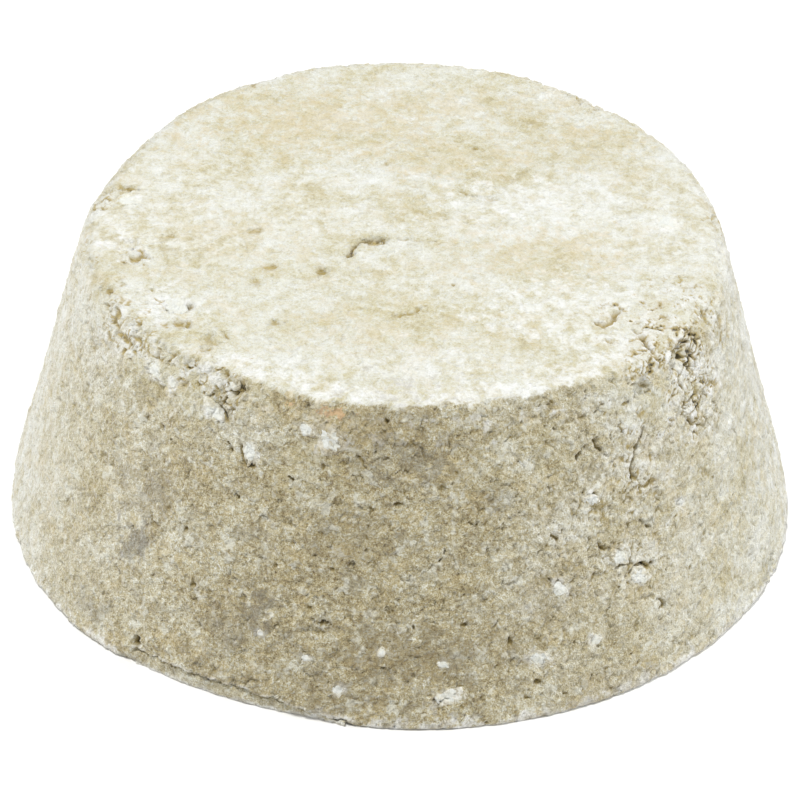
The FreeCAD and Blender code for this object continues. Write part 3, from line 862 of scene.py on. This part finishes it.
def base_lip(material):
    """Make the thin lip: a crescent with a ragged top, set back a little under the seam."""
    azimuth = LIP_AZIMUTH + (LIP_SPAN - LIP_TRIM) * np.linspace(-1, 1, LIP_STEPS)[:, None]
    turn = np.linspace(0, 2 * math.pi, LIP_AROUND, endpoint=False)[None, :]
    across = np.sign(np.cos(turn)) * np.abs(np.cos(turn)) ** 0.45
    upright = np.sign(np.sin(turn)) * np.abs(np.sin(turn)) ** 0.45
    inner = lip_reach(azimuth) + 0.05
    outer = np.maximum(wall_radius(azimuth, 0.5) - LIP_SETBACK, inner + 0.12)
    tall = np.maximum(seam_height(azimuth) - LIP_SEAM_GAP, 0.25)
    radius = (inner + outer) / 2 + (outer - inner) / 2 * across
    height = tall / 2 * (1 + upright)
    points = Surface.at(azimuth, radius, height).reshape(-1, 3)
    out = Surface.at(azimuth, np.ones_like(radius), 0 * height).reshape(-1, 3)
    loose = across.clip(0, 1) * np.ones_like(azimuth)
    rough = 0.10 * layered_noise(points, 1.1, 91, 3, 0.6) * loose.reshape(-1)
    points = points + out * rough[:, None]
    top = (upright.clip(0, 1) * np.ones_like(azimuth)).reshape(-1)
    lift = 0.08 * layered_noise(points, 0.9, 95, 2) * top
    points[:, 2] = np.maximum(points[:, 2] + lift, 0)
    lip = new_object("base_lip_chip", points, ring_quads(LIP_STEPS, LIP_AROUND), material)
    shell = bmesh.new()
    shell.from_mesh(lip.data)
    bmesh.ops.holes_fill(shell, edges=[e for e in shell.edges if e.is_boundary], sides=LIP_AROUND)
    bmesh.ops.recalc_face_normals(shell, faces=shell.faces)
    shell.to_mesh(lip.data)
    shell.free()
    points = mesh_points(lip.data)
    powder = 1 - step_up(0.1, 0.6, points[:, 2] + 0.3 * layered_noise(points, 0.9, 97, 3, 0.6))
    keep_masks(lip, {"pale": np.full(len(points), 0.1), "bloom_and_side_light": powder})
    return lip


# ---- materials


class Nodes:
    """A material's node tree, with short ways to add what the soap needs."""

    def __init__(self, name):
        self.material = bpy.data.materials.new(name)
        self.material.use_nodes = True
        self.tree = self.material.node_tree
        self.tree.nodes.clear()
        self.place = self.add("ShaderNodeTexCoord").outputs["Object"]

    def add(self, kind, sources=(), **settings):
        """Add a node, set its properties, and link or set its inputs, keyed by name or number."""
        node = self.tree.nodes.new(kind)
        for name, value in settings.items():
            setattr(node, name, value)
        for key, source in dict(sources).items():
            if isinstance(source, bpy.types.NodeSocket):
                self.tree.links.new(source, node.inputs[key])
            else:
                node.inputs[key].default_value = source
        return node

    def finish(self, shader_sources):
        """Add the shader and the output, and return the material."""
        shader = self.add("ShaderNodeBsdfPrincipled", shader_sources)
        self.add("ShaderNodeOutputMaterial", {"Surface": shader.outputs["BSDF"]})
        return self.material

    def noise(self, size, detail=3, rough=0.55, output="Fac"):
        """Return noise from 0 to 1 with swells about `size` mm across."""
        sources = {"Vector": self.place, "Scale": 1 / (size * MM), "Detail": detail, "Roughness": rough}
        return self.add("ShaderNodeTexNoise", sources).outputs[output]

    def grains(self, size):
        """Return rounded grains about `size` mm across, packed unevenly: 1 on each, 0 between."""
        stir = [0.7 * size * MM] * 3
        sources = {0: self.noise(0.8 * size, 1, 0.5, "Color"), 1: stir, 2: self.place}
        stirred = self.add("ShaderNodeVectorMath", sources, operation="MULTIPLY_ADD")
        sources = {"Vector": stirred.outputs["Vector"], "Scale": 1 / (size * MM)}
        distance = self.add("ShaderNodeTexVoronoi", sources).outputs["Distance"]
        return self.math("MULTIPLY_ADD", distance, -1.0, 1.0)

    def rise(self, value, low, high, to_low=0.0, to_high=1.0):
        """Return a smooth rise of a value between two levels."""
        sources = {"Value": value, "From Min": low, "From Max": high,
                   "To Min": to_low, "To Max": to_high}
        node = self.add("ShaderNodeMapRange", sources, interpolation_type="SMOOTHSTEP")
        return node.outputs["Result"]

    def math(self, operation, *values):
        """Return a sum, product or the like of two or three values."""
        return self.add("ShaderNodeMath", enumerate(values), operation=operation).outputs["Value"]

    def ramp(self, value, stops):
        """Return the colour at a value on a ramp given as places and colours."""
        node = self.add("ShaderNodeValToRGB", {"Fac": value})
        ends = node.color_ramp.elements
        for k, (place, colour) in enumerate(stops):
            stop = ends[k] if k < 2 else ends.new(place)
            stop.position, stop.color = place, colour
        return node.outputs["Color"]

    def mask(self, name):
        """Return one of the mesh's colour masks, or 0 on a mesh without it."""
        return self.add("ShaderNodeAttribute", attribute_name=name).outputs["Fac"]

    def mix(self, share, a, b):
        """Return a mix of two colours."""
        return self.add("ShaderNodeMix", {0: share, 6: a, 7: b}, data_type="RGBA").outputs[2]


def rgb(red, green, blue):
    """Return a linear colour from the 0 to 255 steps of a screen colour."""
    def linear(step):
        share = step / 255
        return share / 12.92 if share <= 0.04045 else ((share + 0.055) / 1.055) ** 2.4
    return (linear(red), linear(green), linear(blue), 1.0)


# The soap's colours from its deepest grain to its lightest, on the tan front and on the pale top
TAN_SOAP = ((0.00, rgb(108, 90, 54)), (0.25, rgb(160, 144, 101)), (0.46, rgb(186, 174, 135)),
            (0.66, rgb(206, 199, 170)), (0.84, rgb(224, 223, 205)), (1.00, rgb(243, 244, 238)))
PALE_SOAP = ((0.00, rgb(186, 173, 126)), (0.28, rgb(207, 200, 165)), (0.50, rgb(219, 217, 198)),
             (0.70, rgb(228, 229, 219)), (1.00, rgb(242, 244, 240)))
PALE = rgb(228, 228, 214)
CHALK = rgb(247, 248, 245)
FLAKE_WHITE = rgb(230, 232, 226)
AMBER = rgb(210, 190, 138)
EMBER = rgb(218, 176, 136)
DEEP_TAN = rgb(126, 110, 72)
ASH = rgb(176, 172, 154)
# Painted shade for the hollows: amber brown, lighter amber on pale soap, and almost black where deepest
HOLLOW_SHADE = rgb(140, 120, 56)
AMBER_HOLLOW_SHADE = rgb(178, 155, 78)
DARKEST_SHADE = rgb(46, 39, 12)
STAIN = rgb(116, 111, 100)

# The layers of grain: size in mm, detail, roughness, and strength on the tan front and the pale top
GRAIN_LAYERS = ((4.5, 3, 0.6, 0.60, 1.30), (1.3, 3, 0.6, 0.50, 0.95), (0.55, 2, 0.6, 0.55, 0.50),
                (0.24, 2, 0.6, 1.05, 0.60), (0.11, 1, 0.6, 1.30, 0.70))


def soap_colour(n, pale, bloom_and_side_light):
    """Return the colour and the relief of grainy soap: layer on layer of grain, shown less where the
    soap is pale, then warm and ashen clouds, white flecks and chalky bloom, with painted shade between
    loose grains."""
    layers = [n.noise(size, detail, rough) for size, detail, rough, _, _ in GRAIN_LAYERS]
    coarse, cloud, fleck, grit, dust = layers
    pebbles = n.grains(0.34)
    on_tan = on_pale = 0.5
    for layer, (_, _, _, front, top) in zip(layers, GRAIN_LAYERS):
        on_tan = n.math("ADD", on_tan, n.math("MULTIPLY_ADD", layer, front, -0.5 * front))
        on_pale = n.math("ADD", on_pale, n.math("MULTIPLY_ADD", layer, top, -0.5 * top))
    # The pale mask is partly painted light on the sides.
    colour = n.mix(pale, n.ramp(on_tan, TAN_SOAP), n.ramp(on_pale, PALE_SOAP))
    warmth = n.noise(2.1, 4, 0.65)
    colour = n.mix(n.rise(warmth, 0.50, 0.68, 0.0, 0.28), colour, AMBER)
    ash = n.math("MULTIPLY_ADD", pale, -0.3, n.rise(warmth, 0.34, 0.48, 0.40, 0.0))
    colour = n.mix(n.math("MAXIMUM", ash, 0.0), colour, ASH)
    colour = n.mix(n.rise(fleck, 0.58, 0.70, 0.0, 0.45), colour, PALE)
    colour = n.mix(n.rise(n.noise(1.15, 2, 0.7), 0.58, 0.68, 0.0, 0.65), colour, PALE)
    # The chalk white follows the bloom mask, which also holds painted light on the sides.
    powder = n.math("MULTIPLY_ADD", cloud, 1.1, n.math("MULTIPLY_ADD", fleck, 0.8, -0.45))
    powder = n.math("MULTIPLY", bloom_and_side_light, powder)
    colour = n.mix(n.rise(powder, 0.0, 0.85, 0.0, 0.95), colour, CHALK)
    # Painted shade in the gaps between the pebbles of loose grain on the tan soap.
    loose = n.math("MULTIPLY", n.math("SUBTRACT", 1.0, pale), n.rise(cloud, 0.40, 0.58, 1.0, 0.15))
    colour = n.mix(n.math("MULTIPLY", loose, n.rise(pebbles, 0.28, 0.55, 0.38, 0.0)), colour, DEEP_TAN)
    height = n.math("MULTIPLY_ADD", fleck, 0.9, n.math("MULTIPLY", dust, 0.25))
    height = n.math("MULTIPLY_ADD", grit, 0.4, height)
    height = n.math("MULTIPLY_ADD", n.math("MULTIPLY", loose, pebbles), 0.45, height)
    return colour, height, fleck, coarse


def sink_hollows(n, colour):
    """Return the colour with painted shade in its hollows: amber brown, and almost black where they are
    deepest.
    """
    hollow = n.mask("hollow")
    floor = n.mix(n.mask("pale"), HOLLOW_SHADE, AMBER_HOLLOW_SHADE)
    colour = n.mix(n.rise(hollow, 0.1, 0.75, 0.0, 0.85), colour, floor)
    return n.mix(n.rise(hollow, 0.70, 1.0, 0.0, 0.92), colour, DARKEST_SHADE)


def soap_material(name):
    """Soap with amber tints, grey stains and painted shade in its hollows, where the mesh has them: the
    cake's skin, and the freshly broken lumps, crumbs and lip."""
    n = Nodes(name)
    colour, height, fleck, blotch = soap_colour(n, n.mask("pale"), n.mask("bloom_and_side_light"))
    tint = n.math("MULTIPLY", n.mask("tint"), n.rise(blotch, 0.30, 0.50))
    colour = n.mix(n.math("MULTIPLY", tint, 0.75), colour, AMBER)
    colour = n.mix(n.rise(tint, 0.60, 0.90, 0.0, 0.60), colour, EMBER)
    colour = n.mix(n.math("MULTIPLY", n.mask("deep"), 0.5), colour, DEEP_TAN)
    colour = n.mix(n.math("MULTIPLY", n.mask("stain"), 0.55), colour, STAIN)
    return finish_soap(n, sink_hollows(n, colour), n.rise(fleck, 0.3, 0.7, 0.6, 0.85), height, 0.32)


def flake_material():
    """A hard white flake: chalk white with cream clouds, and soap clinging over its ragged edge."""
    n = Nodes("white_flake")
    soap, height, fleck, _ = soap_colour(n, n.mask("pale"), 0.6)
    white = n.mix(n.rise(n.noise(0.5, 3, 0.6), 0.42, 0.64, 0.0, 0.8), FLAKE_WHITE, PALE)
    patchy = n.math("MULTIPLY_ADD", n.noise(0.9, 2, 0.6), 2.0, n.math("MULTIPLY_ADD", fleck, 2.6, -2.2))
    colour = n.mix(n.rise(n.math("ADD", n.mask("edge"), patchy), 0.25, 0.75), white, soap)
    return finish_soap(n, colour, n.rise(fleck, 0.3, 0.7, 0.55, 0.8), height, 0.20)


def finish_soap(n, colour, rough, height, lift):
    """Give soap its chalky sheen and its bump in millimetres, and return the material."""
    sources = {"Strength": 1.0, "Distance": lift * MM, "Height": height}
    normal = n.add("ShaderNodeBump", sources).outputs["Normal"]
    return n.finish({"Base Color": colour, "Roughness": rough, "Normal": normal, "Sheen Weight": 0.55,
                     "Sheen Roughness": 0.5, "Specular IOR Level": 0.35})


# ---- the stage, lights and camera


FLOOR_REACH = 3000.0


def make_floor():
    """Lay a wide pale floor under the cake."""
    points = np.array([[-1, -1, 0], [1, -1, 0], [1, 1, 0], [-1, 1, 0]]) * FLOOR_REACH
    paint = Nodes("floor").finish({"Base Color": rgb(246, 246, 245), "Roughness": 0.9})
    new_object("floor", points, np.array([[0, 1, 2, 3]]), paint)


def make_light(name, azimuth, elevation, strength, spread):
    """Hang a soft distant light that shines from an azimuth and an elevation."""
    data = bpy.data.lights.new(name, "SUN")
    data.energy = strength
    data.angle = math.radians(spread)
    lamp = bpy.data.objects.new(name, data)
    turn, rise = math.radians(azimuth), math.radians(elevation)
    back = Vector((math.sin(turn) * math.cos(rise), -math.cos(turn) * math.cos(rise), math.sin(rise)))
    lamp.rotation_mode = "QUATERNION"
    lamp.rotation_quaternion = back.to_track_quat("Z", "Y")
    bpy.context.scene.collection.objects.link(lamp)


def make_lights():
    """Rake the cake with a light from high on its left, and fill from all round and both sides."""
    world = bpy.data.worlds.new("studio")
    world.use_nodes = True
    background = world.node_tree.nodes["Background"]
    background.inputs["Color"].default_value = (1.0, 1.0, 1.0, 1.0)
    background.inputs["Strength"].default_value = 0.30
    bpy.context.scene.world = world
    make_light("top_key", -45, 77, 2.1, 12)
    make_light("left_softbox", -100, 25, 0.95, 50)
    make_light("right_softbox", 95, 25, 1.5, 50)


# The camera's elevation, roll, distance and focal length, and how far its aim is off the middle
CAMERA_ELEVATION = 35.1
CAMERA_ROLL = 1.65
CAMERA_DISTANCE = 14.0 * BASE_RADIUS
CAMERA_LENS = 251.9
AIM_BELOW = 3.19
AIM_LEFT = 0.285


def make_camera():
    """Stand the camera in front and above, turned a little about its own line of sight."""
    rise, roll = math.radians(CAMERA_ELEVATION), math.radians(CAMERA_ROLL)
    back = Vector((0, -math.cos(rise), math.sin(rise)))
    level = Vector((1, 0, 0))
    upright = back.cross(level)
    right = level * math.cos(roll) + upright * math.sin(roll)
    up = upright * math.cos(roll) - level * math.sin(roll)
    middle = Vector((0, 0, HEIGHT / 2))
    place = middle + back * CAMERA_DISTANCE
    aim = middle - up * AIM_BELOW - right * AIM_LEFT
    back = (place - aim).normalized()
    right = up.cross(back).normalized()
    up = back.cross(right)
    data = bpy.data.cameras.new("camera")
    data.lens = CAMERA_LENS
    data.sensor_width = 36
    data.clip_start, data.clip_end = 0.01, 20
    camera = bpy.data.objects.new("camera", data)
    turn = Matrix((right, up, back)).transposed().to_4x4()
    camera.matrix_world = Matrix.Translation(place * MM) @ turn
    bpy.context.scene.collection.objects.link(camera)
    bpy.context.scene.camera = camera


# ---- the cake, piece by piece

LUMPS = ("left_rim_lump", "right_rim_lump", "shoulder_lump")
CRUMBS = ("shoulder_crumbs", "rim_crumbs", "crevice_crumb")
FLAKES = tuple(sorted(name for name in NODES if name.endswith(("_flake", "_flakes", "_chip"))))
# The side of a flake that a crevice opens on, in degrees round it
GAP_SIDES = {"front_flake": 305, "corner_flake": 60, "crack_flake": 90}


def main():
    """Make every piece, and put each on the one body of the cake."""
    make_camera()
    make_lights()
    make_floor()
    bpy.context.scene.view_settings.view_transform = "Standard"
    skin, broken, flake = soap_material("soap_skin"), soap_material("soap_broken"), flake_material()
    seats = []
    for name in LUMPS + CRUMBS + FLAKES:
        powder = 0.9 if name in FLAKES else 0.3
        for solid in islands(name):
            seats.append((*measured_seat(solid), GAP_SIDES.get(name), powder))
    pieces = [(soap_body(skin, seats), "soap_body", "soap_skin"),
              (base_lip(broken), "base_lip", "soap_broken")]
    for names, material, slot, *form in ((LUMPS + CRUMBS, broken, "soap_broken", 0.03, 0.08, 1.15),
                                         (FLAKES, flake, "white_flake", 0.05, 0.10, 1.35)):
        pieces += [(seated_piece(name, material, *form), name, slot) for name in names]
    for piece, node, slot in pieces:
        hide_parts(node)
        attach(piece, "root")


main()
